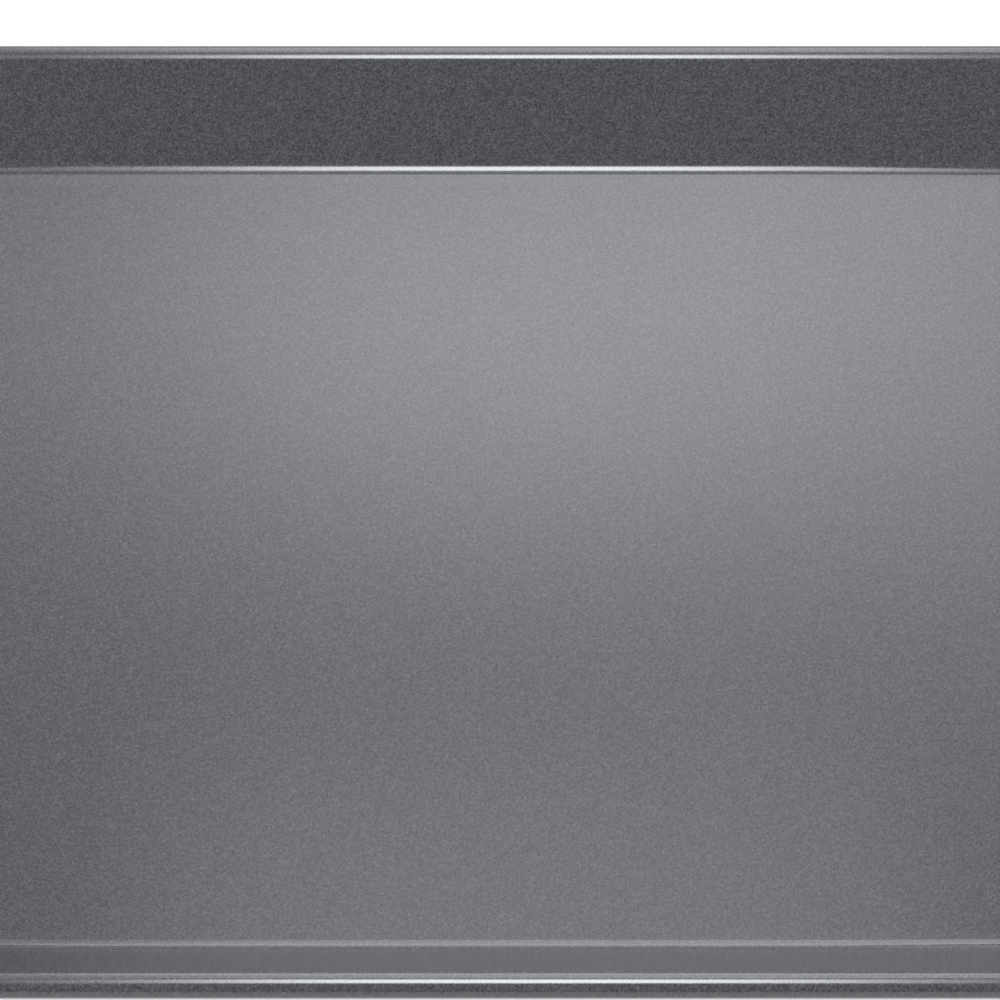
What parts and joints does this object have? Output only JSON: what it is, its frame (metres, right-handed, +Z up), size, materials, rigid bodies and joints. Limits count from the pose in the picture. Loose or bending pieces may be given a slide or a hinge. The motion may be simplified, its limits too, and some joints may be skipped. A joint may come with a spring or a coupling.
{
  "type": "cookie sheet",
  "caption": "Rectangular rimmed cookie sheet of pressed steel with flared walls, a dark speckled non-stick finish and a rolled, wire-stiffened rim.",
  "frame": {"origin": "under the middle of the floor, on the surface that the sheet stands on", "axes": "+X along the long sides, +Y to the back long side, +Z up"},
  "size_m": [0.438, 0.292, 0.0254],
  "materials": {
    "non_stick_steel": "dark grey non-stick coating with a fine metallic fleck, satin gloss",
    "rim_wire_steel": "bare drawn steel wire, hidden in the rolled rim"
  },
  "bodies": {
    "root": {"pan_body": "non_stick_steel", "rim_wire": "rim_wire_steel"}
  },
  "joints": []
}
